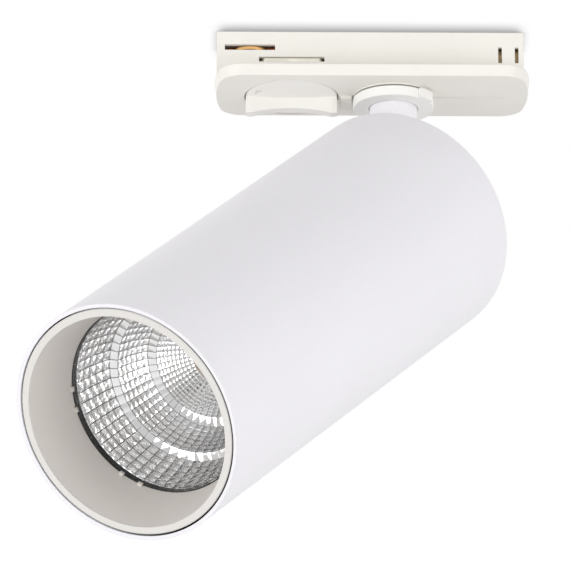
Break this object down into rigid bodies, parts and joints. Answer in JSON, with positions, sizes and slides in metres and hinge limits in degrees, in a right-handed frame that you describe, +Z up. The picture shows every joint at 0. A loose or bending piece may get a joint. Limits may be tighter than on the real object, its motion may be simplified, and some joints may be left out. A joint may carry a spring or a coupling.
{
  "type": "track spotlight",
  "caption": "Cylindrical spotlight head with a recessed faceted reflector, hung from a lighting-track adapter by a swivelling, tilting stem.",
  "frame": {"origin": "swivel axis at the top face of the box that sits in the track", "axes": "+Z up into the track, +X along the adapter away from the locking lever, +Y across the track"},
  "size_m": [0.1593, 0.172, 0.1971],
  "materials": {
    "shell_plastic": "fine satin, injection moulded",
    "lever_plastic": "fine satin, injection moulded",
    "collar_plastic": "fine satin, injection moulded",
    "cam_plastic": "moulded nylon",
    "carrier_plastic": "moulded nylon",
    "contact_copper": "bright rolled copper alloy",
    "zinc_steel": "zinc plated",
    "wing_steel": "stamped, nickel plated",
    "white_paint": "matte powder coat",
    "stem_paint": "matte powder coat",
    "baffle_white": "fine matte",
    "ring_black": "glossy",
    "reflector_silver": "vacuum metallised facets",
    "holder_white": "moulded",
    "board_ceramic": "bright board",
    "phosphor": "silicone over phosphor",
    "thermal_grey": "soft pad",
    "cast_aluminium": "as cast",
    "driver_plastic": "moulded",
    "board_green": "solder mask",
    "ferrite": "ferrite and tape",
    "capacitor_sleeve": "shrink sleeve",
    "chip_black": "moulded",
    "bracket_steel": "pressed sheet",
    "tongue_zinc": "die cast, painted",
    "washer_black": "friction washer",
    "wire_white": "insulation"
  },
  "bodies": {
    "adapter": {"front_shell": "shell_plastic", "rear_shell": "shell_plastic", "shell_screws": "zinc_steel", "earth_contact": "contact_copper", "terminal_block": "driver_plastic", "terminal_screws": "zinc_steel"},
    "lever": {"lock_lever": "lever_plastic", "locking_wing": "wing_steel", "contact_cam": "cam_plastic", "lever_screw": "zinc_steel"},
    "front_contact": {"front_contact_carrier": "carrier_plastic", "front_contact_blade": "contact_copper"},
    "rear_contact": {"rear_contact_carrier": "carrier_plastic", "rear_contact_blade": "contact_copper"},
    "stem": {"stem_collar": "collar_plastic", "stem_tube": "stem_paint", "stem_washer": "zinc_steel", "stem_nut": "zinc_steel", "pivot_tongue": "tongue_zinc", "stem_wires": "wire_white"},
    "head": {"head_tube": "white_paint", "front_baffle": "baffle_white", "reflector_lock_ring": "ring_black", "reflector": "reflector_silver", "cob_holder": "holder_white", "holder_screws": "zinc_steel", "thermal_pad": "thermal_grey", "cob_board": "board_ceramic", "cob_emitter": "phosphor", "heat_sink": "cast_aluminium", "tie_rods": "zinc_steel", "rod_nuts": "zinc_steel", "driver_tray": "driver_plastic", "driver_cover": "driver_plastic", "driver_board": "board_green", "driver_transformer": "ferrite", "driver_capacitors": "capacitor_sleeve", "driver_chips": "chip_black", "chassis_plate": "cast_aluminium", "tube_screws": "zinc_steel", "pivot_bracket": "bracket_steel", "bracket_screws": "zinc_steel", "pivot_bolt": "zinc_steel", "pivot_nut": "zinc_steel", "friction_washers": "washer_black", "rear_cap": "baffle_white", "cap_standoffs": "zinc_steel", "cap_screws": "zinc_steel", "led_wire": "wire_white", "driver_wire": "wire_white"}
  },
  "joints": [
    {"name": "pan", "type": "hinge", "parent": "adapter", "child": "stem", "pos_m": [0, 0, -0.0229], "axis": [0, 0, 1], "range_deg": [-117, 188]},
    {"name": "tilt", "type": "hinge", "parent": "stem", "child": "head", "pos_m": [0, 0, -0.064], "axis": [-0.8018, 0.5976, 0], "range_deg": [-53.5, 15]},
    {"name": "lever_turn", "type": "hinge", "parent": "adapter", "child": "lever", "pos_m": [-0.0325, 0, -0.0189], "axis": [0, 0, 1], "range_deg": [0, 90]},
    {"name": "front_contact_slide", "type": "slide", "parent": "adapter", "child": "front_contact", "axis": [0, -1, 0], "range_m": [0, 0.0027]},
    {"name": "rear_contact_slide", "type": "slide", "parent": "adapter", "child": "rear_contact", "axis": [0, 1, 0], "range_m": [0, 0.0027]}
  ],
  "couplings": [
    {"joint": "front_contact_slide", "follows": "lever_turn", "m_per_rad": 0.001718},
    {"joint": "rear_contact_slide", "follows": "lever_turn", "m_per_rad": 0.001718}
  ]
}
